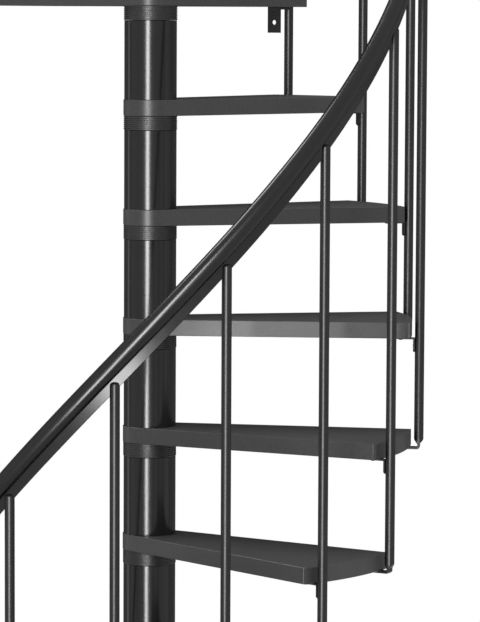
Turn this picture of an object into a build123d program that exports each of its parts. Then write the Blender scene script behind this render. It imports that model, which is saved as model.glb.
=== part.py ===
"""Spiral staircase: a steel kit stair that winds anticlockwise up one centre column.

Units are millimetres. The origin is the middle of the base flange's underside, on the floor,
and +Z is up. Angles are measured in plan from +X, anticlockwise, and grow as the stair climbs.
"""
from build123d import *
from math import acos, atan2, cos, degrees, hypot, radians, sin
import os

# ---- the flight -------------------------------------------------------------------------
rise = 230.0                # from the top of one tread to the top of the next
turn = 22.0                 # plan angle from one tread to the next
tread_count = 11            # treads between the floor and the landing
first_angle = -185.5        # plan angle of the first baluster, at tread 1's front corner
landing_top = rise * (tread_count + 1)

# ---- centre column ----------------------------------------------------------------------
core_d = 60.0               # steel tube that runs through every hub
core_wall = 4.0
core_clearance = 0.2        # gap round the core in each bore
sleeve_d = 110.5            # cover tube between two hubs
sleeve_wall = 3.0
hub_d = 114.0               # rounded inner end of a tread
ring_d = 113.0              # height-setting rings under each hub
ring_neck_d = 108.5         # bottom of the groove between two rings
ring_count = 7
ring_stack = 30.0
ring_groove = 1.2

# ---- base and cap -----------------------------------------------------------------------
flange_d = 260.0
flange_thick = 10.0
flange_hole_d = 13.0
flange_hole_circle_d = 212.0
flange_hole_count = 4
cap_height = 16.0
cap_recess = 6.0

# ---- treads -----------------------------------------------------------------------------
tread_thick = 34.0
rim_r = 554.5               # outer edge, an arc round the column
front_overhang = 3.1        # plan angle of the front corner beyond the tread's own baluster
rear_overhang = 2.65        # plan angle of the rear corner beyond the next baluster
edge_round = 1.0

# ---- landing ----------------------------------------------------------------------------
landing_side = 612.0        # from the column's axis to the outer edges
landing_thick = tread_thick
landing_skew = 3.25         # plan angle of the landing's sides beyond its strut

# ---- balusters --------------------------------------------------------------------------
baluster_d = 20.0
baluster_circle_r = 572.0
baluster_top_below_rail = 35.5
baluster_top_round = 7.0
slot_play = 0.15            # gap round the strip in a baluster's slotted top
tab_thick = 5.0             # tube pressed flat and bent in under the tread
tab_reach = 55.0
taper_length = 13.0         # round tube closes to the flat tab over this height
tab_bend = 4.0              # upright flat part above the bent tab
foot_d = 50.0
foot_thick = 6.0
strut_arm_reach = 58.0      # bar that ties the strut to the landing's underside
strut_arm_wide = 12.0
strut_arm_thick = 6.0

# ---- tread brackets ---------------------------------------------------------------------
bracket_thick = 3.5
bracket_wide = 12.0
bracket_drop = 30.0
bracket_reach = 42.0
bracket_corner = 4.0        # cut corners at the foot of the upright leg

# ---- handrail ---------------------------------------------------------------------------
rail_d = 37.0
rail_above_tread = 880.0    # rail's middle above a tread, at that tread's front corner
strip_thick = 5.0
strip_below_rail = 53.0     # strip's lower edge below the rail's middle, measured upright
strip_from_rail = 27.0      # strip's upper edge below the rail's middle, where the tube ends
rail_lead = 6.5             # plan angle of rail before the first baluster
landing_post_angle = 61.5   # baluster that carries the rail's upper end
rail_tail = 3.5             # plan angle of rail past that baluster

# ---- landing brackets -------------------------------------------------------------------
fixing_wide = 31.0
fixing_drop = 58.0
fixing_thick = 5.0
fixing_leg = 40.0
fixing_hole_d = 11.0
fixing_hole_drop = 34.5
fixing_inset = 63.0         # from the landing's front corner to the middle of the first bracket
fixing_spacing = 345.0      # from the first bracket to the second, along the same edge

# ---- landing guard ----------------------------------------------------------------------
guard_inset = 22.0          # guard line inside the landing's edges
guard_corner_r = 70.0
guard_start = 118.0         # first guard baluster from the column's axis
guard_side_count = 4        # balusters on the side that starts at the column
guard_end_count = 5         # balusters on the far side
guard_overrun = 16.0        # rail past the last baluster at each end
guard_strip_from = 18.6     # the level rail's strip below the rail's middle
guard_strip_below = 36.6
guard_top_below_rail = 19.0
rail_cap_thick = 6.0
rail_cap_round = 4.0

os.makedirs("parts", exist_ok=True)


def tread_top(number):
    return rise * number


def baluster_angle(number):
    """Plan angle of baluster 1, 2, 3 and so on, one for each tread's front corner."""
    return first_angle + turn * (number - 1)


def rail_height(angle):
    """Height of the rail's middle above the floor at a plan angle."""
    return rise + rail_above_tread + rise * (angle - first_angle) / turn


def polar(radius, angle):
    return (radius * cos(radians(angle)), radius * sin(radians(angle)))


def ring(outer_d, inner_d, height, bottom):
    """A plain hollow cylinder that stands on the given height."""
    body = Cylinder(outer_d / 2, height) - Cylinder(inner_d / 2, height)
    return Pos(0, 0, bottom + height / 2) * body


def save(name, shape):
    shape.label = name
    export_step(shape, f"parts/{name}.step")


def hub_tangent(corner, side):
    """Plan angle where a line from the corner meets the hub circle, on side -1 or +1 of it."""
    spread = degrees(acos(hub_d / 2 / hypot(*corner)))
    return degrees(atan2(corner[1], corner[0])) + side * spread


def plate_round_hub(first, outer_line, last, top, thickness):
    """A flat plate round the hub, its sides running at a tangent to the outer line's two ends."""
    start = hub_tangent(first, -1)
    end = hub_tangent(last, 1)
    hub_start = polar(hub_d / 2, start)
    hub_end = polar(hub_d / 2, end)
    hub_back = polar(hub_d / 2, (start + end) / 2 + 180)
    outline = Line(hub_start, first) + outer_line + Line(last, hub_end)
    outline += ThreePointArc(hub_end, hub_back, hub_start)
    plate = extrude(make_face(outline), thickness)
    bore = Cylinder(core_d / 2 + core_clearance, 3 * thickness)
    plate = plate - bore
    outer = [e for e in plate.edges().filter_by(Plane.XY) if e.bounding_box().size.X > core_d + 2]
    short = [e for e in plate.edges().filter_by(Plane.XY)
             if e.bounding_box().size.X <= core_d + 2 and e.geom_type == GeomType.LINE]
    plate = fillet(outer + short, edge_round)
    return Pos(0, 0, top - thickness) * plate


# ---- column: flange, core, sleeves, rings, cap ------------------------------------------
core_bore_d = core_d + 2 * core_clearance

flange = Pos(0, 0, flange_thick / 2) * Cylinder(flange_d / 2, flange_thick)
hole_places = PolarLocations(flange_hole_circle_d / 2, flange_hole_count, start_angle=45)
flange -= hole_places * Cylinder(flange_hole_d / 2, 3 * flange_thick)
flange = chamfer(flange.edges().group_by(Axis.Z)[-1].sort_by(SortBy.RADIUS)[-1], 2)
save("base_flange", flange)

core_top = landing_top + cap_recess
save("column_core", ring(core_d, core_d - 2 * core_wall, core_top - flange_thick, flange_thick))

sleeves = []
stacks = []
for number in range(1, tread_count + 2):
    sleeve_bottom = flange_thick if number == 1 else tread_top(number - 1)
    stack_bottom = tread_top(number) - tread_thick - ring_stack
    sleeves.append(ring(sleeve_d, sleeve_d - 2 * sleeve_wall, stack_bottom - sleeve_bottom, sleeve_bottom))
    ring_pitch = ring_stack / ring_count
    stack = ring(ring_neck_d, core_bore_d, ring_stack, stack_bottom)
    for level in range(ring_count):
        ring_bottom = stack_bottom + level * ring_pitch + ring_groove / 2
        stack += ring(ring_d, core_bore_d, ring_pitch - ring_groove, ring_bottom)
    stacks.append(stack)
save("column_sleeves", Compound(children=sleeves))
save("spacer_rings", Compound(children=stacks))

cap = Cylinder(hub_d / 2, cap_height, align=(Align.CENTER, Align.CENTER, Align.MIN))
cap -= Cylinder(core_bore_d / 2, cap_recess, align=(Align.CENTER, Align.CENTER, Align.MIN))
cap = fillet(cap.edges().group_by(Axis.Z)[-1], cap_height / 2)
save("column_cap", Pos(0, 0, landing_top) * cap)

# ---- treads -----------------------------------------------------------------------------
front_corner = polar(rim_r, -front_overhang)
rear_corner = polar(rim_r, turn + rear_overhang)
rim = ThreePointArc(front_corner, polar(rim_r, turn / 2), rear_corner)
tread = plate_round_hub(front_corner, rim, rear_corner, 0, tread_thick)
for number in range(1, tread_count + 1):
    placed = Pos(0, 0, tread_top(number)) * Rot(0, 0, baluster_angle(number)) * tread
    save(f"tread_{number:02d}", placed)

# ---- landing ----------------------------------------------------------------------------
# The leading edge leaves the hub at a tangent, close in line with the front edge that a tread
# in that place would have.
landing_front = baluster_angle(tread_count + 1)
landing_frame = Rot(0, 0, landing_front + landing_skew)
near_corner = (landing_side, -hub_d / 2)
far_corner = (-hub_d / 2, landing_side)
landing_edge = Polyline(near_corner, (landing_side, landing_side), far_corner)
landing = plate_round_hub(near_corner, landing_edge, far_corner, landing_top, landing_thick)
save("landing", landing_frame * landing)


# ---- balusters --------------------------------------------------------------------------
def flat_end(reach):
    """Pressed lower end, the strap's underside at height 0, pointing to -X."""
    half = baluster_d / 2
    flat = tab_thick / 2
    neck = tab_thick + tab_bend
    side = Plane.XZ * Polyline(
        (half, neck + taper_length),
        (flat, neck),
        (-flat, neck),
        (-half, neck + taper_length),
        close=True,
    )
    taper = extrude(make_face(side), half, both=True)
    taper &= Pos(0, 0, neck + taper_length / 2) * Cylinder(half, taper_length)
    upright = Pos(0, 0, neck / 2) * Box(tab_thick, baluster_d, neck)
    strap = Pos(-reach / 2, 0, tab_thick / 2) * Box(reach, baluster_d, tab_thick)
    return taper + upright + strap


flat_height = tab_thick + tab_bend + taper_length


def baluster_tube(bottom, top, rounded=True):
    tube = Cylinder(baluster_d / 2, top - bottom, align=(Align.CENTER, Align.CENTER, Align.MIN))
    if rounded:
        tube = fillet(tube.edges().group_by(Axis.Z)[-1], baluster_top_round)
    return Pos(0, 0, bottom) * tube


def stand_at(angle, shape):
    return Rot(0, 0, angle) * Pos(baluster_circle_r, 0, 0) * shape


def strip_slot(rail_z, strip_low, slope):
    """Slot for the strip in a baluster's top, its floor at the slope of the strip's lower edge."""
    half = baluster_d
    slot_floor = rail_z - strip_low - slot_play
    outline = Plane.YZ * Polyline(
        (-half, slot_floor - slope * half),
        (half, slot_floor + slope * half),
        (half, rail_z + half),
        (-half, rail_z + half),
        close=True,
    )
    return extrude(make_face(outline), strip_thick / 2 + slot_play, both=True)


climb_slope = rise / (radians(turn) * baluster_circle_r)

for number in range(1, tread_count + 1):
    angle = baluster_angle(number)
    top = rail_height(angle) - baluster_top_below_rail
    if number == 1:
        foot = Cylinder(foot_d / 2, foot_thick, align=(Align.CENTER, Align.CENTER, Align.MIN))
        shape = foot + baluster_tube(foot_thick, top)
    else:
        strap = tread_top(number - 1) - tread_thick - tab_thick
        shape = Pos(0, 0, strap) * flat_end(tab_reach) + baluster_tube(strap + flat_height, top)
    shape -= strip_slot(rail_height(angle), strip_below_rail, climb_slope)
    save(f"baluster_{number:02d}", stand_at(angle, shape))

strut_bottom = tread_top(tread_count) - tread_thick - tab_thick
strut_top = landing_top - landing_thick
strut_lower = Pos(0, 0, strut_bottom) * flat_end(tab_reach)
strut_tube = baluster_tube(strut_bottom + flat_height, strut_top, rounded=False)
strut_arm = Pos(-(baluster_d + strut_arm_reach) / 2, 0, strut_top - strut_arm_thick / 2)
strut_arm *= Box(strut_arm_reach + baluster_d / 2, strut_arm_wide, strut_arm_thick)
save("landing_strut", stand_at(landing_front, strut_lower + strut_tube + strut_arm))

post_top = rail_height(landing_post_angle) - baluster_top_below_rail
post_foot = Cylinder(foot_d / 2, foot_thick, align=(Align.CENTER, Align.CENTER, Align.MIN))
post = Pos(0, 0, landing_top) * post_foot + baluster_tube(landing_top + foot_thick, post_top)
post -= strip_slot(rail_height(landing_post_angle), strip_below_rail, climb_slope)
save("landing_baluster", stand_at(landing_post_angle, post))

# ---- tread brackets ---------------------------------------------------------------------
bracket_face = baluster_circle_r - baluster_d / 2
brackets = []
for number in range(1, tread_count + 1):
    underside = tread_top(number) - tread_thick
    leg = Pos(bracket_face - bracket_thick / 2, 0, underside - bracket_drop / 2)
    leg *= Box(bracket_thick, bracket_wide, bracket_drop)
    leg = chamfer(leg.edges().filter_by(Axis.X).group_by(Axis.Z)[0], bracket_corner)
    arm = Pos(bracket_face - bracket_reach / 2, 0, underside - bracket_thick / 2)
    arm *= Box(bracket_reach, bracket_wide, bracket_thick)
    brackets.append(Rot(0, 0, baluster_angle(number)) * (leg + arm))
save("tread_brackets", Compound(children=brackets))

# ---- landing brackets -------------------------------------------------------------------
fixings = []
first_fixing = fixing_inset - hub_d / 2
for along in (first_fixing, first_fixing + fixing_spacing):
    face = landing_side - fixing_leg
    plate = Pos(face + fixing_thick / 2, along, -fixing_drop / 2)
    plate *= Box(fixing_thick, fixing_wide, fixing_drop)
    hole = Pos(face, along, -fixing_hole_drop) * Rot(0, 90, 0)
    plate -= hole * Cylinder(fixing_hole_d / 2, 4 * fixing_thick)
    leg = Pos(face + fixing_leg / 2, along, -fixing_thick / 2)
    leg *= Box(fixing_leg, fixing_wide, fixing_thick)
    fixings.append(landing_frame * Pos(0, 0, landing_top - landing_thick) * (plate + leg))
save("landing_brackets", Compound(children=fixings))


# ---- handrail ---------------------------------------------------------------------------
rail_from = first_angle - rail_lead
rail_to = landing_post_angle + rail_tail
helix_pitch = rise * 360 / turn
climb = rail_height(rail_to) - rail_height(rail_from)
rail_place = Rot(0, 0, rail_from) * Pos(0, 0, rail_height(rail_from))
helix_line = Helix(pitch=helix_pitch, height=climb, radius=baluster_circle_r)
rail_plane = Plane(origin=helix_line @ 0, z_dir=helix_line % 0)
rail_tube = sweep(rail_plane * Circle(rail_d / 2), path=helix_line, is_frenet=True)
save("handrail", rail_place * rail_tube)

strip_high = strip_below_rail - strip_from_rail
strip_middle = -(strip_below_rail + strip_from_rail) / 2
strip_line = Pos(0, 0, strip_middle) * helix_line
strip_face = Plane.XZ * Pos(baluster_circle_r, strip_middle) * Rectangle(strip_thick, strip_high)
strip = sweep(strip_face, path=strip_line, is_frenet=True)
save("handrail_strip", rail_place * strip)

# ---- landing guard ----------------------------------------------------------------------
guard_near = guard_inset - hub_d / 2
guard_far = landing_side - guard_inset
guard_rail_z = rail_height(landing_post_angle)


def guard_route(height):
    """The guard's L-shaped line at the given height."""
    return FilletPolyline(
        (guard_near, guard_start - guard_overrun, height),
        (guard_near, guard_far, height),
        (guard_far + guard_overrun, guard_far, height),
        radius=guard_corner_r,
    )


rail_route = guard_route(guard_rail_z)
guard_end = Plane(origin=rail_route @ 0, z_dir=rail_route % 0)
save("guard_rail", landing_frame * sweep(guard_end * Circle(rail_d / 2), path=rail_route))

strip_route = guard_route(guard_rail_z - (guard_strip_from + guard_strip_below) / 2)
strip_end = Plane(origin=strip_route @ 0, x_dir=(1, 0, 0), z_dir=strip_route % 0)
guard_strip_face = strip_end * Rectangle(strip_thick, guard_strip_below - guard_strip_from)
save("guard_strip", landing_frame * sweep(guard_strip_face, path=strip_route))

side_last = guard_far - guard_corner_r - baluster_d
side_step = (side_last - guard_start) / (guard_side_count - 1)
end_first = guard_near + guard_corner_r + baluster_d
end_step = (guard_far - end_first) / (guard_end_count - 1)
guard_places = [(guard_near, guard_start + side_step * i) for i in range(guard_side_count)]
guard_places += [(end_first + end_step * i, guard_far) for i in range(guard_end_count)]
guard_top = guard_rail_z - guard_top_below_rail
guard_baluster = Pos(0, 0, landing_top) * post_foot + baluster_tube(landing_top + foot_thick, guard_top)
guard_slot = strip_slot(guard_rail_z, guard_strip_below, 0)
side_baluster = guard_baluster - guard_slot
end_baluster = Rot(0, 0, 90) * side_baluster
guard_balusters = []
for x, y in guard_places:
    shape = side_baluster if x == guard_near else end_baluster
    guard_balusters.append(landing_frame * Pos(x, y, 0) * shape)
save("guard_balusters", Compound(children=guard_balusters))

# ---- end caps of both rails -------------------------------------------------------------
cap_disc = Cylinder(rail_d / 2, rail_cap_thick, align=(Align.CENTER, Align.CENTER, Align.MIN))
cap_disc = fillet(cap_disc.edges().group_by(Axis.Z)[-1], rail_cap_round)
rail_caps = []
for line, place in ((helix_line, rail_place), (rail_route, landing_frame)):
    rail_caps.append(place * (Plane(origin=line @ 0, z_dir=-(line % 0)) * cap_disc))
    rail_caps.append(place * (Plane(origin=line @ 1, z_dir=line % 1) * cap_disc))
save("rail_end_caps", Compound(children=rail_caps))
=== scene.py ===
from math import acos, atan2, cos, pi, radians, sin, sqrt

import bmesh
import bpy
from mathutils import Matrix, Vector


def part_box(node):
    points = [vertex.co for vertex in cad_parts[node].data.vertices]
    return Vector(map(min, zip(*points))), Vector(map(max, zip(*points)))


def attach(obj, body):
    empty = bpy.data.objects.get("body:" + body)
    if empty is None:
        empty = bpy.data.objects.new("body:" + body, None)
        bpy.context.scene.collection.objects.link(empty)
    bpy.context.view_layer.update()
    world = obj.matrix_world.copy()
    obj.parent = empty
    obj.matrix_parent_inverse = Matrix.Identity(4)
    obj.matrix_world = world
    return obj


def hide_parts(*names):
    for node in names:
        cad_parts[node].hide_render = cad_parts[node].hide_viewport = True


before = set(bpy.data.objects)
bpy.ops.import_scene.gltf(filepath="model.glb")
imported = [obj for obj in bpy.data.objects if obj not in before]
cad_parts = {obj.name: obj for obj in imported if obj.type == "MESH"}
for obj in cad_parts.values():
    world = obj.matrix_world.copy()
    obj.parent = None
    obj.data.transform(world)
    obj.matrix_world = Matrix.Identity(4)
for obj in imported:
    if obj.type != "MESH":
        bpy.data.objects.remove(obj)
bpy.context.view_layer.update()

# ---- Base flange ------------------------------------------------------------------------
# A 10 mm disc of steel plate at the foot of the column, powder-coated gloss black. Four zinc
# anchor bolts with washers hold it to the floor through its outer holes.
mm = 0.001
flange_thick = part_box("base_flange")[1].z
anchor_circle_r = 106 * mm
anchor_count = 4
anchor_head_r = 9.5 * mm
anchor_head_height = 8 * mm
anchor_chamfer_in = 1.5 * mm
anchor_chamfer_down = 1.2 * mm
anchor_washer_r = 12 * mm
anchor_washer_thick = 2.5 * mm
anchor_washer_edge = 0.4 * mm
washer_sides = 32
hexagon = 6
hard_edge = radians(35)


def linear(code):
    """An sRGB hex colour as Blender's linear red, green, blue and alpha."""
    parts = [int(code[i:i + 2], 16) / 255 for i in (1, 3, 5)]
    return [p / 12.92 if p <= 0.04045 else ((p + 0.055) / 1.055) ** 2.4 for p in parts] + [1]


def add(tree, kind, feeds=None, **settings):
    """Adds a node. feeds pairs an input's name or place with a value or another node's socket."""
    made = tree.nodes.new(kind)
    for name, value in settings.items():
        setattr(made, name, value)
    for key, value in (feeds or {}).items():
        if isinstance(value, bpy.types.NodeSocket):
            tree.links.new(value, made.inputs[key])
        else:
            made.inputs[key].default_value = value
    return made


def coated(name, dark, light, patch, grain, relief, roughness, spread, level=0.5, metallic=0.0):
    """A sprayed, moulded or plated skin. Colour and gloss drift over patches of one real size,
    and a finer grain of another size stands up by the relief, all in metres. The two noises
    add up to between 0.7 and 1.3 nearly everywhere. A colour mix has inputs 6 and 7."""
    material = bpy.data.materials.new(name)
    material.use_nodes = True
    tree = material.node_tree
    tree.nodes.clear()
    place = add(tree, "ShaderNodeTexCoord").outputs["Object"]
    drift = add(tree, "ShaderNodeTexNoise",
                {"Vector": place, "Scale": 1 / patch, "Detail": 3.0, "Roughness": 0.6})
    fine = add(tree, "ShaderNodeTexNoise",
               {"Vector": place, "Scale": 1 / grain, "Detail": 2.0, "Roughness": 0.5})
    both = add(tree, "ShaderNodeMath", {0: drift.outputs["Fac"], 1: fine.outputs["Fac"]},
               operation="ADD")
    share = add(tree, "ShaderNodeMapRange",
                {"Value": both.outputs[0], "From Min": 0.7, "From Max": 1.3})
    colour = add(tree, "ShaderNodeMix",
                 {"Factor": share.outputs[0], 6: linear(dark), 7: linear(light)},
                 data_type="RGBA")
    gloss = add(tree, "ShaderNodeMapRange",
                {"Value": share.outputs[0], "To Min": roughness - spread,
                 "To Max": roughness + spread})
    bump = add(tree, "ShaderNodeBump", {"Height": fine.outputs["Fac"], "Distance": relief})
    shader = add(tree, "ShaderNodeBsdfPrincipled",
                 {"Base Color": colour.outputs[2], "Roughness": gloss.outputs[0],
                  "Normal": bump.outputs[0], "Specular IOR Level": level,
                  "Metallic": metallic})
    add(tree, "ShaderNodeOutputMaterial", {"Surface": shader.outputs[0]})
    return material


def dress(node, material):
    """Gives a CAD node its finish."""
    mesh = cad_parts[node].data
    mesh.materials.clear()
    mesh.materials.append(material)


def circle(radius, height, sides, x=0.0):
    """The points of a level circle, its middle this far out along X."""
    turns = [2 * pi * i / sides for i in range(sides)]
    return [(x + radius * cos(t), radius * sin(t), height) for t in turns]


def loft(bm, sections, loop=False):
    """Skins a row of sections with the same number of points each, and closes both ends, or
    joins the last to the first as a tube's outside and inside are joined."""
    rows = [[bm.verts.new(point) for point in section] for section in sections]
    if loop:
        rows.append(rows[0])
    for low, high in zip(rows, rows[1:]):
        for i, start in enumerate(low):
            j = (i + 1) % len(low)
            bm.faces.new((start, low[j], high[j], high[i]))
    if not loop:
        bm.faces.new(reversed(rows[0]))
        bm.faces.new(rows[-1])


def shape(name, build, *feeds):
    """A mesh filled in by build, which gets an empty bmesh and the feeds."""
    mesh = bpy.data.meshes.new(name)
    bm = bmesh.new()
    build(bm, *feeds)
    bmesh.ops.recalc_face_normals(bm, faces=bm.faces)
    bm.to_mesh(mesh)
    bm.free()
    return mesh


def link(name, data):
    """An object with this mesh, light or camera, put in the scene."""
    made = bpy.data.objects.new(name, data)
    bpy.context.scene.collection.objects.link(made)
    return made


def piece(name, mesh, material, slot, *nodes):
    """A finished piece on the stair, with soft shading except at its hard edges, that takes
    the place of the CAD nodes named."""
    mesh.materials.clear()
    mesh.materials.append(material)
    mesh.shade_smooth()
    mesh.set_sharp_from_angle(angle=hard_edge)
    made = link(name, mesh)
    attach(made, "root")
    if nodes:
        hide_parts(*nodes)


def new_tree(name, **sizes):
    """A Geometry Nodes tree with a geometry input, one input for each named size and its kind,
    and a material input."""
    tree = bpy.data.node_groups.new(name, "GeometryNodeTree")
    tree.interface.new_socket("Geometry", in_out="OUTPUT", socket_type="NodeSocketGeometry")
    tree.interface.new_socket("Geometry", in_out="INPUT", socket_type="NodeSocketGeometry")
    for label, kind in sizes.items():
        tree.interface.new_socket(label, in_out="INPUT", socket_type="NodeSocket" + kind)
    tree.interface.new_socket("finish", in_out="INPUT", socket_type="NodeSocketMaterial")
    return tree, add(tree, "NodeGroupInput").outputs


def close_tree(tree, made, finish):
    """Ends a tree: its instances are made real and take the finish."""
    real = add(tree, "GeometryNodeRealizeInstances", {"Geometry": made})
    done = add(tree, "GeometryNodeSetMaterial", {"Geometry": real.outputs[0], "Material": finish})
    add(tree, "NodeGroupOutput", {0: done.outputs[0]})


def grow(name, mesh, tree, material, **sizes):
    """The plain mesh that a tree makes of a start mesh with these sizes."""
    carrier = link(name + "_start", mesh)
    modifier = carrier.modifiers.new(tree.name, "NODES")
    modifier.node_group = tree
    sizes["finish"] = material
    for item in tree.interface.items_tree:
        if item.in_out == "INPUT" and item.name in sizes:
            modifier[item.identifier] = sizes[item.name]
    grown = carrier.evaluated_get(bpy.context.evaluated_depsgraph_get())
    made = bpy.data.meshes.new_from_object(grown)
    carrier.modifiers.remove(modifier)
    bpy.data.objects.remove(carrier)
    return made


# What repeats up the stair, or round a circle where the rise is nothing.
climb, given = new_tree("climb", count="Int", turn="Float", rise="Float", first_turn="Float",
                        first_height="Float")
start_at = add(climb, "ShaderNodeCombineXYZ", {2: given["first_height"]})
step_up = add(climb, "ShaderNodeCombineXYZ", {2: given["rise"]})
steps = add(climb, "GeometryNodeMeshLine",
            {"Count": given["count"], "Start Location": start_at.outputs[0],
             "Offset": step_up.outputs[0]}, mode="OFFSET")
turned = add(climb, "ShaderNodeMath",
             {0: add(climb, "GeometryNodeInputIndex").outputs[0], 1: given["turn"],
              2: given["first_turn"]}, operation="MULTIPLY_ADD")
about_z = add(climb, "ShaderNodeCombineXYZ", {2: turned.outputs[0]})
facing = add(climb, "FunctionNodeEulerToRotation", {0: about_z.outputs[0]})
copies = add(climb, "GeometryNodeInstanceOnPoints",
             {"Points": steps.outputs[0], "Instance": given["Geometry"],
              "Rotation": facing.outputs[0]})
close_tree(climb, copies.outputs[0], given["finish"])


def anchor_bolt(bm):
    """A washer and a hexagon head with its chamfered top, out on the bolt circle."""
    x = anchor_circle_r
    edge = anchor_washer_edge
    loft(bm, [circle(anchor_washer_r, 0, washer_sides, x),
              circle(anchor_washer_r, anchor_washer_thick - edge, washer_sides, x),
              circle(anchor_washer_r - edge, anchor_washer_thick, washer_sides, x)])
    top = anchor_washer_thick + anchor_head_height
    loft(bm, [circle(anchor_head_r, anchor_washer_thick, hexagon, x),
              circle(anchor_head_r, top - anchor_chamfer_down, hexagon, x),
              circle(anchor_head_r - anchor_chamfer_in, top, hexagon, x)])


# Gloss polyester powder coat, sprayed on steel and baked: near black, with a smooth gloss and
# the faint drift of sprayed paint. Its orange peel, 3 mm from crest to crest, is drawn at 20 mm.
gloss_black = coated("gloss_black_powder_coat", "#0b0b0b", "#101010", patch=200 * mm,
                     grain=20 * mm, relief=0.004 * mm, roughness=0.2, spread=0.015, level=0.34)
# Zinc plate on small steel hardware: dull silver, with crystals too fine to show drawn at 3 mm.
zinc = coated("zinc_plated_steel", "#8f9294", "#b2b5b7", patch=12 * mm, grain=3 * mm,
              relief=0.02 * mm, roughness=0.38, spread=0.08, metallic=1.0)
dress("base_flange", gloss_black)
anchors = grow("anchor_bolts", shape("anchor_bolt", anchor_bolt), climb, zinc,
               count=anchor_count, turn=2 * pi / anchor_count, rise=0.0,
               first_turn=pi / anchor_count, first_height=flange_thick)
piece("anchor_bolts", anchors, zinc, "core_steel")

# ---- Core tube --------------------------------------------------------------------------
# A 60 mm galvanised steel tube that every hub is threaded on. The sleeves and hubs hide it,
# and only its shape is kept.
dress("column_core", zinc)

# ---- Column sleeves ---------------------------------------------------------------------
# A 110.5 mm cover tube between each tread's hub and the rings under the next, cut square,
# powder-coated gloss black as the flange is, and held by the column's own clamping.
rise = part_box("tread_01")[1].z
tread_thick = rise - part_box("tread_01")[0].z
turn = radians(22)
tread_count = 11
ring_stack_high = 30 * mm
sleeve_r = 55.25 * mm
sleeve_wall = 3 * mm
sleeve_edge = 0.5 * mm
sleeve_long = rise - tread_thick - ring_stack_high
sleeve_sides = 128


def sleeve_tube(bm, length):
    """One cover tube, standing on the floor, with its edges broken."""
    inner = sleeve_r - sleeve_wall
    loft(bm, [circle(sleeve_r - sleeve_edge, 0, sleeve_sides),
              circle(sleeve_r, sleeve_edge, sleeve_sides),
              circle(sleeve_r, length - sleeve_edge, sleeve_sides),
              circle(sleeve_r - sleeve_edge, length, sleeve_sides),
              circle(inner, length, sleeve_sides),
              circle(inner, 0, sleeve_sides)], loop=True)


def joined(name, *meshes):
    """One mesh of several."""
    mesh = bpy.data.meshes.new(name)
    bm = bmesh.new()
    for part in meshes:
        bm.from_mesh(part)
    bm.to_mesh(mesh)
    bm.free()
    return mesh


upper_sleeves = grow("upper_sleeves", shape("sleeve", sleeve_tube, sleeve_long), climb,
                     gloss_black, count=tread_count, turn=turn, rise=rise, first_turn=0.0,
                     first_height=rise)
lowest_sleeve = shape("lowest_sleeve", sleeve_tube, sleeve_long - flange_thick)
lowest_sleeve.transform(Matrix.Translation((0, 0, flange_thick)))
piece("sleeve_covers", joined("sleeve_covers", upper_sleeves, lowest_sleeve), gloss_black,
      "column_paint", "column_sleeves")

# ---- Spacer rings -----------------------------------------------------------------------
# Seven moulded black nylon rings stacked under each hub set the rise. Each has a rounded rim
# and a smooth bore, and they stand a little proud of the sleeve.
ring_r = 56.5 * mm
ring_neck_r = 54.8 * mm
ring_bore_r = 30.2 * mm
ring_count = 7
ring_pitch = ring_stack_high / ring_count
ring_gap = 0.4 * mm
ring_rib_steps = 6
ring_sides = 60


def ring_stack(bm):
    """One stack as a single closed shape: round ribs outside, and its bore inside."""
    sections = [circle(ring_bore_r, 0, ring_sides)]
    for level in range(ring_count):
        middle = (level + 0.5) * ring_pitch
        for step in range(ring_rib_steps + 1):
            a = pi * step / ring_rib_steps
            radius = ring_neck_r + (ring_r - ring_neck_r) * sqrt(max(sin(a), 0))
            sections.append(circle(radius, middle - (ring_pitch / 2 - ring_gap) * cos(a),
                                   ring_sides))
    sections.append(circle(ring_bore_r, ring_count * ring_pitch, ring_sides))
    loft(bm, sections, loop=True)


# Black nylon 6 from a polished mould: softer in its shine than the paint beside it.
nylon = coated("moulded_black_nylon", "#0d0d0d", "#151515", patch=50 * mm, grain=6 * mm,
               relief=0.01 * mm, roughness=0.38, spread=0.04)
stacks = grow("ring_stacks", shape("ring_stack", ring_stack), climb, nylon,
              count=tread_count + 1, turn=turn, rise=rise, first_turn=0.0,
              first_height=sleeve_long)
piece("ring_stacks", stacks, nylon, "ring_plastic", "spacer_rings")

# ---- Treads -----------------------------------------------------------------------------
# Eleven hollow steel trays, 34 mm deep, with rounded hubs and an arc for an outer edge. The
# front skirt stops short of the outer corner with a rolled edge. Satin graphite powder coat.
hub_r = 57 * mm
rim_r = 554.5 * mm
first_angle = radians(-185.5)
front_overhang = radians(3.1)
rear_overhang = radians(2.65)
plate_edge = 1 * mm
skirt_back = 5 * mm
skirt_step = 1.2 * mm
skirt_roll_r = 2.4 * mm
skirt_roll_angle = radians(60)
skirt_roll_steps = 4
hub_steps = 40
rim_steps = 24


def polar(radius, angle):
    """A plan point at a distance from the column's middle."""
    return Vector((radius * cos(angle), radius * sin(angle)))


def hub_tangent(corner, side):
    """Plan angle where a line from the corner meets the hub circle, on side -1 or +1 of it."""
    return atan2(corner.y, corner.x) + side * acos(hub_r / corner.length)


def hub_arc(first, last):
    """Points round the back of the hub, from the last corner's tangent to the first one's."""
    start = hub_tangent(last, 1)
    end = hub_tangent(first, -1) + 2 * pi
    return [polar(hub_r, start + (end - start) * i / hub_steps) for i in range(hub_steps + 1)]


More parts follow.
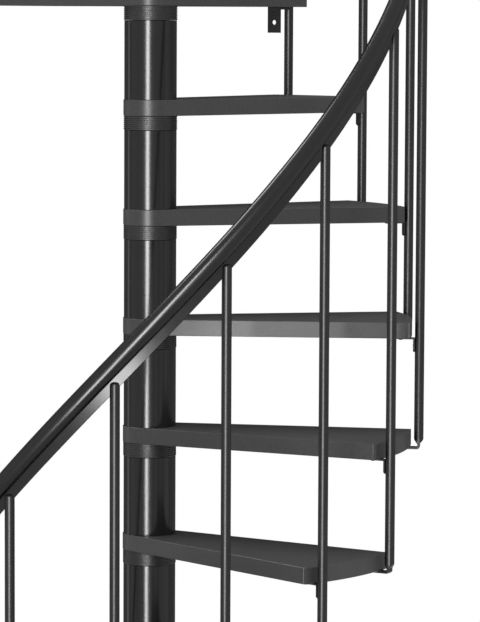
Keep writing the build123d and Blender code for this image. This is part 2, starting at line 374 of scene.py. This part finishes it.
def plate(bm, outline, top):
    """A plate of the treads' depth with softened upper and lower edges."""
    sunk = [bm.verts.new((p.x, p.y, top - tread_thick)) for p in outline]
    face = bm.faces.new(sunk)
    grown = bmesh.ops.extrude_face_region(bm, geom=[face])["geom"]
    raised = [v for v in grown if isinstance(v, bmesh.types.BMVert)]
    bmesh.ops.translate(bm, verts=raised, vec=(0, 0, tread_thick))
    bm.normal_update()
    flat = [e for e in bm.edges if abs(e.verts[0].co.z - e.verts[1].co.z) < plate_edge
            and len({round(abs(f.normal.z)) for f in e.link_faces}) == 2]
    bmesh.ops.bevel(bm, geom=flat, offset=plate_edge, segments=1, affect="EDGES")


def tread_outline():
    """The tread's plan: its outer arc, its hub, and the roll where the front skirt ends."""
    front = polar(rim_r, -front_overhang)
    rear = polar(rim_r, turn + rear_overhang)
    back = (polar(hub_r, hub_tangent(front, -1)) - front).normalized()
    inward = Vector((back.y, -back.x))
    roll = []
    for step in range(skirt_roll_steps + 1):
        a = skirt_roll_angle * step / skirt_roll_steps
        along = skirt_back + skirt_roll_r * (sin(skirt_roll_angle) - sin(a))
        deep = skirt_roll_r * (1 - cos(a))
        roll.append(front + back * along + inward * deep)
    edge = []
    for i in range(rim_steps + 1):
        angle = -front_overhang + (turn + rear_overhang + front_overhang) * i / rim_steps
        edge.append(polar(rim_r, angle))
    edge[0] = front + inward * skirt_step
    return edge + hub_arc(front, rear) + roll


def tread_plate(bm):
    plate(bm, tread_outline(), 0.0)


# Satin powder coat with a very fine texture, sprayed on steel: an even graphite grey with a
# broad soft sheen. The texture, 0.5 mm across, is drawn at 5 mm.
graphite = coated("satin_graphite_powder_coat", "#474748", "#4f4f51", patch=250 * mm,
                  grain=5 * mm, relief=0.01 * mm, roughness=0.34, spread=0.03, level=0.25)
treads = grow("treads", shape("tread", tread_plate), climb, graphite, count=tread_count,
              turn=turn, rise=rise, first_turn=first_angle, first_height=rise)
piece("tread_plates", treads, graphite, "tread_paint",
      *[f"tread_{number:02d}" for number in range(1, tread_count + 1)])

# ---- Landing ----------------------------------------------------------------------------
# The top platform is one square tray of the treads' depth and finish, with a rounded hub at
# its inner corner. It is clamped on the column and bracketed to the floor above.
landing_top = rise * (tread_count + 1)
landing_side = 612 * mm
landing_front = first_angle + turn * tread_count
landing_lead = radians(3.25)
landing_turn = Matrix.Rotation(landing_front + landing_lead, 4, "Z")


def landing_plate(bm):
    """The square, before it is turned to the last tread, with its inner corner at the hub."""
    near = Vector((landing_side, -hub_r))
    far = Vector((-hub_r, landing_side))
    plate(bm, [near, Vector((landing_side, landing_side)), far] + hub_arc(near, far), landing_top)


landing_mesh = shape("landing_plate", landing_plate)
landing_mesh.transform(landing_turn)
piece("landing_plate", landing_mesh, graphite, "tread_paint", "landing")

# ---- Balusters --------------------------------------------------------------------------
# 20 mm steel tubes with rounded caps slotted for the rail's strip. Most are pressed flat at
# the foot and bent in under a tread; the others stand on 50 mm foot plates. Black enamel.
baluster_r = 10 * mm
baluster_circle_r = 572 * mm
baluster_round = 7 * mm
baluster_sides = 48
tab_thick = 5 * mm
tab_reach = 55 * mm
tab_neck = 9 * mm
taper_long = 13 * mm
tab_inner_bend_r = 0.6 * mm
bend_r = tab_thick / 2 + tab_inner_bend_r
bend_steps = 6
taper_steps = 8
top_steps = 7
strap_squareness = 2.5
climbing_long = 1113.5 * mm
first_long = 1074.5 * mm
strut_long = 235 * mm
foot_r = 25 * mm
foot_thick = 6 * mm
foot_edge = 1.5 * mm
weld_leg = 2.5 * mm
weld_throat = 0.8 * mm
strut_bar_reach = 58 * mm
strut_bar_wide = 12 * mm
strut_bar_thick = 6 * mm
strut_bar_edge = 0.8 * mm


def pressed(along, height, slope, flatness, wide=1.0):
    """One section of the tube's end, from round at flatness 0 to a flat strap at 1. It faces
    along the strap's line, whose slope is 0 where it lies and 90 degrees where it stands."""
    half_thick = baluster_r + (tab_thick / 2 - baluster_r) * flatness
    power = 1 / (1 + strap_squareness * flatness)
    points = []
    for i in range(baluster_sides):
        a = 2 * pi * i / baluster_sides
        across = half_thick * abs(cos(a)) ** power * (1 if cos(a) > 0 else -1)
        sideways = wide * baluster_r * abs(sin(a)) ** power * (1 if sin(a) > 0 else -1)
        points.append((along - across * sin(slope), -sideways, height + across * cos(slope)))
    return points


def strap_end():
    """The pressed end's sections, from the strap's tip to the round tube. The tip's corners
    are rounded: each pair is a distance back from it in mm and a share of the full width."""
    middle = tab_thick / 2
    sections = [pressed(-tab_reach + back * mm, middle, 0, 1, wide)
                for back, wide in ((0, 0.7), (1, 0.85), (3, 0.95), (6, 1))]
    for step in range(bend_steps + 1):
        a = pi / 2 * step / bend_steps
        sections.append(pressed(-bend_r + bend_r * sin(a), middle + bend_r * (1 - cos(a)), a, 1))
    for step in range(taper_steps + 1):
        share = step / taper_steps
        eased = share * share * (3 - 2 * share)
        sections.append(pressed(0, tab_neck + taper_long * share, pi / 2, 1 - eased))
    return sections


def pressed_round(radius, height):
    """A round section whose points start and turn as those of the pressed end do."""
    turns = [2 * pi * i / baluster_sides for i in range(baluster_sides)]
    return [(-radius * cos(t), -radius * sin(t), height) for t in turns]


def foot_end():
    """A foot plate's sections: its rounded rim, then the hollow weld round the tube."""
    rim_cut = 0.3 * foot_edge
    return [pressed_round(r, z) for r, z in (
        (foot_r, 0), (foot_r, foot_thick - foot_edge), (foot_r - rim_cut, foot_thick - rim_cut),
        (foot_r - foot_edge, foot_thick), (baluster_r + weld_leg, foot_thick),
        (baluster_r + weld_throat, foot_thick + weld_throat),
        (baluster_r, foot_thick + weld_leg))]


def tube_top(height):
    """The tube's sections from its middle up to the rounded cap."""
    sections = [pressed_round(baluster_r, height - baluster_round)]
    for step in range(1, top_steps + 1):
        a = pi / 2 * step / top_steps
        sections.append(pressed_round(baluster_r - baluster_round * (1 - cos(a)),
                                      height - baluster_round * (1 - sin(a))))
    return sections


def standing(mesh, turn_by, height, x=baluster_circle_r, y=0.0):
    """A copy of a mesh, moved out from the column, turned in plan and raised."""
    copy = mesh.copy()
    copy.transform(Matrix.Rotation(turn_by, 4, "Z") @ Matrix.Translation((x, y, height)))
    return copy


def strut_bar(bm):
    """The flat bar that ties the strut to the landing's underside."""
    inner = -(baluster_r + strut_bar_reach)
    half = strut_bar_wide / 2
    edge = strut_bar_edge
    sections = []
    for cut, z in ((edge, 0), (0, edge), (0, strut_bar_thick - edge), (edge, strut_bar_thick)):
        sections.append([(inner + cut, -half + cut, z), (-cut, -half + cut, z),
                         (-cut, half - cut, z), (inner + cut, half - cut, z)])
    loft(bm, sections)


# Stoved enamel on drawn steel tube: black, smooth and glossy, a little softer than the sleeves.
# Its slow drift in colour runs along the tube over 200 mm.
enamel = coated("black_baluster_enamel", "#0e0e0e", "#141414", patch=200 * mm, grain=25 * mm,
                relief=0.002 * mm, roughness=0.36, spread=0.02, level=0.34)
strap_low = rise - tread_thick - tab_thick
one_climbing = shape("climbing_baluster", loft, strap_end() + tube_top(climbing_long))
climbing = grow("climbing_balusters", standing(one_climbing, turn_by=0.0, height=0.0), climb,
                enamel, count=tread_count - 1, turn=turn, rise=rise,
                first_turn=first_angle + turn, first_height=strap_low)
piece("climbing_balusters", climbing, enamel, "baluster_paint",
      *[f"baluster_{number:02d}" for number in range(2, tread_count + 1)])

footed = shape("first_baluster", loft, foot_end() + tube_top(first_long))
piece("first_baluster", standing(footed, first_angle, 0.0), enamel, "baluster_paint",
      "baluster_01")

strut_tube = shape("strut_tube", loft, strap_end() + [pressed_round(baluster_r, strut_long)])
bar = shape("strut_bar", strut_bar)
bar.transform(Matrix.Translation((0, 0, strut_long - strut_bar_thick)))
strut = joined("landing_strut_tube", strut_tube, bar)
piece("landing_strut_tube", standing(strut, landing_front, strap_low + rise * (tread_count - 1)),
      enamel, "baluster_paint", "landing_strut")

# ---- Tread brackets and their screws ----------------------------------------------------
# A small angle of bent 3.5 mm strip holds each tread's front corner to its baluster. Its
# upright leg has a countersunk screw, and domed screws go up through its arm and the strap.
screw_head_r = 4.5 * mm
screw_head_height = 1.8 * mm
flush_head_height = 0.6 * mm
screw_sides = 20
bracket_face_r = 558.5 * mm
bracket_drop = 17 * mm
bracket_arm_r = 532 * mm
bracket_thick = 3.5 * mm
strap_screw_r = 530 * mm


def screw_head(bm, height):
    """A domed head that stands this high, with a driving recess. Each row is a radius and a
    share of the height, from the rim over the dome and down into the recess."""
    profile = [(screw_head_r, 0), (screw_head_r, 0.3), (screw_head_r * 0.93, 0.62),
               (screw_head_r * 0.75, 0.86), (screw_head_r * 0.5, 1), (screw_head_r * 0.42, 1),
               (screw_head_r * 0.34, 0.45)]
    loft(bm, [circle(r, share * height, screw_sides) for r, share in profile])


def aimed(mesh, place, aim):
    """A copy of a screw's mesh at a place, its head pointing along the aim."""
    copy = mesh.copy()
    facing_aim = Vector(aim).to_track_quat("Z", "Y").to_matrix().to_4x4()
    copy.transform(Matrix.Translation(place) @ facing_aim)
    return copy


# Matt black coat with a fine grain, baked on bent strip: it hardly shines. The grain, 0.3 mm
# across, is drawn at 3 mm.
matt_black = coated("matt_black_bracket_coat", "#0a0a0a", "#0f0f0f", patch=50 * mm,
                    grain=3 * mm, relief=0.02 * mm, roughness=0.5, spread=0.04, level=0.3)
dress("tread_brackets", matt_black)
head = shape("domed_head", screw_head, screw_head_height)
flush_head = shape("flush_head", screw_head, flush_head_height)
leg_screw = aimed(flush_head, (bracket_face_r, 0, -tread_thick - bracket_drop), (-1, 0, 0))
arm_screw = aimed(head, (bracket_arm_r, 0, -tread_thick - bracket_thick), (0, 0, -1))
screws = grow("bracket_screws", joined("screw_pair", leg_screw, arm_screw), climb, matt_black,
              count=tread_count, turn=turn, rise=rise, first_turn=first_angle,
              first_height=rise)
strap_screw = aimed(head, (strap_screw_r, 0, -tread_thick - tab_thick), (0, 0, -1))
strap_screws = grow("strap_screws", strap_screw, climb, matt_black, count=tread_count, turn=turn,
                    rise=rise, first_turn=first_angle + turn, first_height=rise)
piece("tread_screws", joined("tread_screws", screws, strap_screws), matt_black,
      "bracket_paint")

# ---- Landing brackets -------------------------------------------------------------------
# Two angles of 5 mm steel under the landing's leading edge bolt to the edge of the floor above.
# They have the treads' bracket finish, and each is screwed up into the landing.
fixing_along = (6 * mm, 351 * mm)
fixing_leg_out = 595 * mm
fixing_thick = 5 * mm
dress("landing_brackets", matt_black)
under = landing_top - tread_thick - fixing_thick
fixing_screws = joined("fixing_screws", *[aimed(head, (fixing_leg_out, y, under), (0, 0, -1))
                                          for y in fixing_along])
fixing_screws.transform(landing_turn)
piece("landing_screws", fixing_screws, matt_black, "bracket_paint")

# ---- Handrail ---------------------------------------------------------------------------
# A 37 mm tube rolled to the stair's spiral, with a flat 5 mm strip along its underside that
# the balusters' slots take. Both are one welding, finished in a smooth black skin.
rail_r = 18.5 * mm
strip_thick = 5 * mm
strip_upright = 32 * mm
strip_drop = 38 * mm
strip_round = 0.8 * mm
strip_round_steps = 1
rail_lead = radians(6.5)
rail_from = first_angle - rail_lead
rail_to = radians(65)
rail_over_tread = 880 * mm
helix_steps = 300
tube_round = rail_r - 0.01 * mm  # A hair under half the width, so no two corners meet.
tube_round_steps = 11


def rail_height(angle):
    """Height of the rail's middle above the floor at a plan angle."""
    return rise + rail_over_tread + rise * (angle - first_angle) / turn


def section(tree, given):
    """A rectangle with rounded corners, as tall and as wide as the tree's inputs say."""
    flat = add(tree, "GeometryNodeCurvePrimitiveQuadrilateral",
               {"Width": given["wide"], "Height": given["tall"]})
    return add(tree, "GeometryNodeFilletCurve",
               {"Curve": flat.outputs[0], "Count": given["round_steps"],
                "Radius": given["round"]}, mode="POLY").outputs[0]


def swept(tree, given, line):
    """Runs the rounded section along a line, kept upright, with closed ends."""
    upright = add(tree, "GeometryNodeSetCurveNormal", {"Curve": line}, mode="Z_UP")
    run = add(tree, "GeometryNodeCurveToMesh",
              {"Curve": upright.outputs[0], "Profile Curve": section(tree, given),
               "Fill Caps": True})
    close_tree(tree, run.outputs[0], given["finish"])


sizes_of_section = {"wide": "Float", "tall": "Float", "round": "Float", "round_steps": "Int"}
spiral, given = new_tree("spiral", radius="Float", turns="Float", height="Float",
                         first_turn="Float", first_height="Float", points="Int",
                         **sizes_of_section)
coil = add(spiral, "GeometryNodeCurveSpiral",
           {"Resolution": given["points"], "Rotations": given["turns"],
            "Start Radius": given["radius"], "End Radius": given["radius"],
            "Height": given["height"], "Reverse": True})
lift = add(spiral, "ShaderNodeCombineXYZ", {2: given["first_height"]})
about = add(spiral, "ShaderNodeCombineXYZ", {2: given["first_turn"]})
placed = add(spiral, "GeometryNodeTransform",
             {"Geometry": coil.outputs[0], "Translation": lift.outputs[0],
              "Rotation": about.outputs[0]})
swept(spiral, given, placed.outputs[0])

# Smooth black lacquer on the rail's tube and strip: deep black, with a clean line of shine.
rail_skin = coated("black_rail_lacquer", "#0c0c0c", "#121212", patch=150 * mm, grain=25 * mm,
                   relief=0.002 * mm, roughness=0.25, spread=0.02, level=0.34)
rail_climb = rail_height(rail_to) - rail_height(rail_from)
rail_slope = atan2(rise, turn * baluster_circle_r)
rail_line = {"radius": baluster_circle_r, "turns": (rail_to - rail_from) / (2 * pi),
             "height": rail_climb, "first_turn": rail_from, "points": helix_steps}
tube = grow("rail_tube", bpy.data.meshes.new("rail_tube_start"), spiral, rail_skin, **rail_line,
            first_height=rail_height(rail_from), wide=2 * rail_r, tall=2 * rail_r,
            round=tube_round, round_steps=tube_round_steps)
piece("rail_tube", tube, rail_skin, "rail_paint", "handrail")
under_strip = grow("rail_strip", bpy.data.meshes.new("rail_strip_start"), spiral, rail_skin,
                   **rail_line, first_height=rail_height(rail_from) - strip_drop,
                   wide=strip_thick, tall=strip_upright * cos(rail_slope), round=strip_round,
                   round_steps=strip_round_steps)
piece("rail_strip", under_strip, rail_skin, "strip_paint", "handrail_strip")

# ---- Landing guard ----------------------------------------------------------------------
# Level rails on nine footed balusters guard the landing's two open sides. The tube and strip
# are the handrail's, bent once round the corner, and moulded caps close both rails' ends.
guard_near = -35 * mm
guard_far = 590 * mm
guard_start = 118 * mm
guard_run = 16 * mm
guard_corner_r = 70 * mm
guard_corner_steps = 16
guard_side_posts = 4
guard_end_posts = 5
guard_top_gap = 19 * mm
rail_post_gap = 35.5 * mm
guard_strip_middle = 26.1 * mm
guard_strip_tall = 21 * mm
post_angle = radians(61.5)
guard_z = rail_height(post_angle)

bent, given = new_tree("bent_run", corner_r="Float", corner_steps="Int", **sizes_of_section)
drawn = add(bent, "GeometryNodeMeshToCurve", {"Mesh": given["Geometry"]})
rounded = add(bent, "GeometryNodeFilletCurve",
              {"Curve": drawn.outputs[0], "Count": given["corner_steps"],
               "Radius": given["corner_r"]}, mode="POLY")
swept(bent, given, rounded.outputs[0])


def guard_line(bm, height):
    """The guard's line along both open sides, as edges."""
    corners = [bm.verts.new((x, y, height)) for x, y in (
        (guard_near, guard_start - guard_run), (guard_near, guard_far),
        (guard_far + guard_run, guard_far))]
    for start, end in zip(corners, corners[1:]):
        bm.edges.new((start, end))


guard_bend = {"corner_r": guard_corner_r, "corner_steps": guard_corner_steps}
guard_tube = grow("guard_tube", shape("guard_tube_line", guard_line, guard_z), bent, rail_skin,
                  **guard_bend, wide=2 * rail_r, tall=2 * rail_r, round=tube_round,
                  round_steps=tube_round_steps)
guard_tube.transform(landing_turn)
piece("guard_tube", guard_tube, rail_skin, "rail_paint", "guard_rail")
guard_flat = grow("guard_flat", shape("guard_flat_line", guard_line, guard_z - guard_strip_middle),
                  bent, rail_skin, **guard_bend, wide=strip_thick, tall=guard_strip_tall,
                  round=strip_round, round_steps=strip_round_steps)
guard_flat.transform(landing_turn)
piece("guard_flat", guard_flat, rail_skin, "strip_paint", "guard_strip")
dress("rail_end_caps", nylon)

side_last = guard_far - guard_corner_r - 2 * baluster_r
side_step = (side_last - guard_start) / (guard_side_posts - 1)
end_first = guard_near + guard_corner_r + 2 * baluster_r
end_step = (guard_far - end_first) / (guard_end_posts - 1)
guard_places = [(guard_near, guard_start + side_step * i) for i in range(guard_side_posts)]
guard_places += [(end_first + end_step * i, guard_far) for i in range(guard_end_posts)]
guard_post = shape("guard_post", loft,
                   foot_end() + tube_top(guard_z - guard_top_gap - landing_top))
guard_posts = joined("guard_posts", *[standing(guard_post, 0.0, landing_top, x, y)
                                      for x, y in guard_places])
guard_posts.transform(landing_turn)
piece("guard_posts", guard_posts, enamel, "baluster_paint", "guard_balusters")
rail_post = shape("rail_post", loft,
                  foot_end() + tube_top(guard_z - rail_post_gap - landing_top))
piece("rail_post", standing(rail_post, post_angle, landing_top), enamel, "baluster_paint",
      "landing_baluster")

# Three domed screws hold each foot plate down.
foot_screw_r = 17.5 * mm
foot_screw_count = 3
foot_screw_first = pi / 6
foot_trio = grow("foot_trio", aimed(head, (foot_screw_r, 0, foot_thick), (0, 0, 1)), climb, zinc,
                 count=foot_screw_count, turn=2 * pi / foot_screw_count, rise=0.0,
                 first_turn=foot_screw_first, first_height=0.0)
landing_feet = joined("landing_feet", *[standing(foot_trio, 0.0, landing_top, x, y)
                                        for x, y in guard_places])
landing_feet.transform(landing_turn)
foot_screws = joined("foot_screws", landing_feet, standing(foot_trio, first_angle, 0.0),
                     standing(foot_trio, post_angle, landing_top))
piece("foot_screws", foot_screws, zinc, "baluster_paint")

# ---- Column cap -------------------------------------------------------------------------
# A spun steel cap with a full round edge closes the column on the landing. It has the gloss
# black of the sleeves and is pushed down on the core tube.
cap_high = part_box("column_cap")[1].z - landing_top
cap_round = 8 * mm
cap_round_steps = 8


def domed_cap(bm):
    """The cap, as wide as the hub under it."""
    sections = [circle(hub_r, landing_top, sleeve_sides)]
    for step in range(cap_round_steps + 1):
        a = pi / 2 * step / cap_round_steps
        sections.append(circle(hub_r - cap_round * (1 - cos(a)),
                               landing_top + cap_high - cap_round * (1 - sin(a)), sleeve_sides))
    loft(bm, sections)


piece("column_cap_dome", shape("column_cap_dome", domed_cap), gloss_black, "cap_plastic",
      "column_cap")

# ---- Studio -----------------------------------------------------------------------------
# A pale floor, an even white surround and a tall narrow softbox beside the camera, which draws
# the bright line down each glossy tube. Grey cloth behind the stair, darkest in its middle,
# and two white cards before it show in reflections alone.
floor_r = 5.0
floor_sides = 96
surround_fill = 0.55
overhead_strength = 1.7
overhead_spread = radians(50)
softbox_azimuth = radians(-102.5)
softbox_distance = 5.2
softbox_wide = 1.2
softbox_low = -0.3
softbox_high = 4.8
softbox_radiance = 30.0
cloth_r = 4.5
cloth_high = 9.0
cloth_dark = 0.05
cloth_gain = 0.55
cloth_power = 1.7
cloth_steps = 48
card_r = 4.3
card_steps = 6
side_card_glow = 1.8
upper_card_glow = 11.0


def stage_object(name, data):
    """A light, wall or camera of the studio, which is no part of the stair."""
    made = link(name, data)
    return made


def plain_floor(bm):
    """A round floor under the stair."""
    bmesh.ops.create_circle(bm, cap_ends=True, segments=floor_sides, radius=floor_r)


def curved_wall(bm, radius, first, last, bottom, top, steps):
    """An upright wall on an arc round the stair."""
    low = []
    high = []
    for i in range(steps + 1):
        a = first + (last - first) * i / steps
        low.append(bm.verts.new((radius * cos(a), radius * sin(a), bottom)))
        high.append(bm.verts.new((radius * cos(a), radius * sin(a), top)))
    for i in range(steps):
        bm.faces.new((low[i], low[i + 1], high[i + 1], high[i]))


def bare(name):
    """A material with its nodes cleared, and its tree."""
    material = bpy.data.materials.new(name)
    material.use_nodes = True
    material.node_tree.nodes.clear()
    return material, material.node_tree


def reflected_only(made):
    """Keeps a wall out of every kind of ray but mirror reflections."""
    for flag in ("visible_camera", "visible_diffuse", "visible_shadow", "visible_transmission"):
        setattr(made, flag, False)


# Pale grey matt paint, which takes the stair's soft shadow.
floor_paint, tree = bare("pale_floor")
floor_skin = add(tree, "ShaderNodeBsdfDiffuse", {"Color": linear("#e6e6e6")})
add(tree, "ShaderNodeOutputMaterial", {"Surface": floor_skin.outputs[0]})
floor = shape("floor", plain_floor)
floor.materials.append(floor_paint)
stage_object("floor", floor)

# The cloth glows by how far round it is from straight behind the stair.
cloth_glow, tree = bare("grey_cloth")
place = add(tree, "ShaderNodeSeparateXYZ",
            {0: add(tree, "ShaderNodeTexCoord").outputs["Object"]})
across = add(tree, "ShaderNodeMath", {0: place.outputs[0]}, operation="ABSOLUTE")
round_by = add(tree, "ShaderNodeMath", {0: across.outputs[0], 1: place.outputs[1]},
               operation="ARCTAN2")
share = add(tree, "ShaderNodeMath", {0: round_by.outputs[0], 1: pi / 2}, operation="DIVIDE")
bent_share = add(tree, "ShaderNodeMath", {0: share.outputs[0], 1: cloth_power}, operation="POWER")
glow = add(tree, "ShaderNodeMath", {0: bent_share.outputs[0], 1: cloth_gain, 2: cloth_dark},
           operation="MULTIPLY_ADD")
lit = add(tree, "ShaderNodeEmission", {"Strength": glow.outputs[0]})
add(tree, "ShaderNodeOutputMaterial", {"Surface": lit.outputs[0]})
cloth = shape("cloth", curved_wall, cloth_r, 0.0, pi, 0.0, cloth_high, cloth_steps)
cloth.materials.append(cloth_glow)
reflected_only(stage_object("cloth", cloth))

# Each card has its glow, its first and last azimuth in degrees, and its bottom and top in metres.
for name, glow_by, first, last, bottom, top in (
        ("side_card", side_card_glow, 155.5, 164.5, 0.0, 2.9),
        ("upper_card", upper_card_glow, 140, 166, 6.1, 8.5)):
    card_paint, tree = bare(name)
    lit = add(tree, "ShaderNodeEmission", {"Strength": glow_by})
    add(tree, "ShaderNodeOutputMaterial", {"Surface": lit.outputs[0]})
    card = shape(name, curved_wall, card_r, radians(first), radians(last), bottom, top,
                 card_steps)
    card.materials.append(card_paint)
    reflected_only(stage_object(name, card))

# A flat light's power is its radiance times pi times its area.
softbox_tall = softbox_high - softbox_low
softbox_light = bpy.data.lights.new("softbox", "AREA")
softbox_light.shape = "RECTANGLE"
softbox_light.size = softbox_wide
softbox_light.size_y = softbox_tall
softbox_light.energy = softbox_radiance * pi * softbox_wide * softbox_tall
softbox = stage_object("softbox", softbox_light)
softbox.location = (softbox_distance * cos(softbox_azimuth),
                    softbox_distance * sin(softbox_azimuth), (softbox_low + softbox_high) / 2)
softbox.rotation_euler = (pi / 2, 0, softbox_azimuth + pi / 2)
softbox.visible_camera = False
softbox.visible_diffuse = False

overhead_light = bpy.data.lights.new("overhead", "SUN")
overhead_light.energy = overhead_strength
overhead_light.angle = overhead_spread
overhead = stage_object("overhead", overhead_light)
overhead.visible_camera = False
overhead.visible_glossy = False

# The surround is pure white to the eye and in reflections, and lights the paint less strongly.
world = bpy.data.worlds.new("white_surround")
bpy.context.scene.world = world
world.use_nodes = True
tree = world.node_tree
tree.nodes.clear()
rays = add(tree, "ShaderNodeLightPath")
seen = add(tree, "ShaderNodeMath",
           {0: rays.outputs["Is Camera Ray"], 1: rays.outputs["Is Glossy Ray"]},
           operation="MAXIMUM")
seen = add(tree, "ShaderNodeMath", {0: seen.outputs[0], 1: rays.outputs["Is Transmission Ray"]},
           operation="MAXIMUM")
strength = add(tree, "ShaderNodeMapRange",
               {"Value": seen.outputs[0], "To Min": surround_fill, "To Max": 1.0})
sky = add(tree, "ShaderNodeBackground", {"Color": (1, 1, 1, 1), "Strength": strength.outputs[0]})
add(tree, "ShaderNodeOutputWorld", {"Surface": sky.outputs[0]})
bpy.context.scene.view_settings.view_transform = "Standard"

# The camera stands 7 m in front of the stair, a little above the top tread's height.
camera_lens = 192.69
camera_place = Vector((-0.081754, -7.019992, 2.709850))
camera_pitch = 0.08898
camera_yaw = 0.03879
camera_roll = 0.00485
camera_data = bpy.data.cameras.new("camera")
camera_data.lens = camera_lens
camera_data.sensor_width = 36.0
camera = stage_object("camera", camera_data)
camera.matrix_world = (Matrix.Translation(camera_place)
                       @ Matrix.Rotation(-camera_yaw, 4, "Z")
                       @ Matrix.Rotation(pi / 2 - camera_pitch, 4, "X")
                       @ Matrix.Rotation(camera_roll, 4, "Z"))
bpy.context.scene.camera = camera
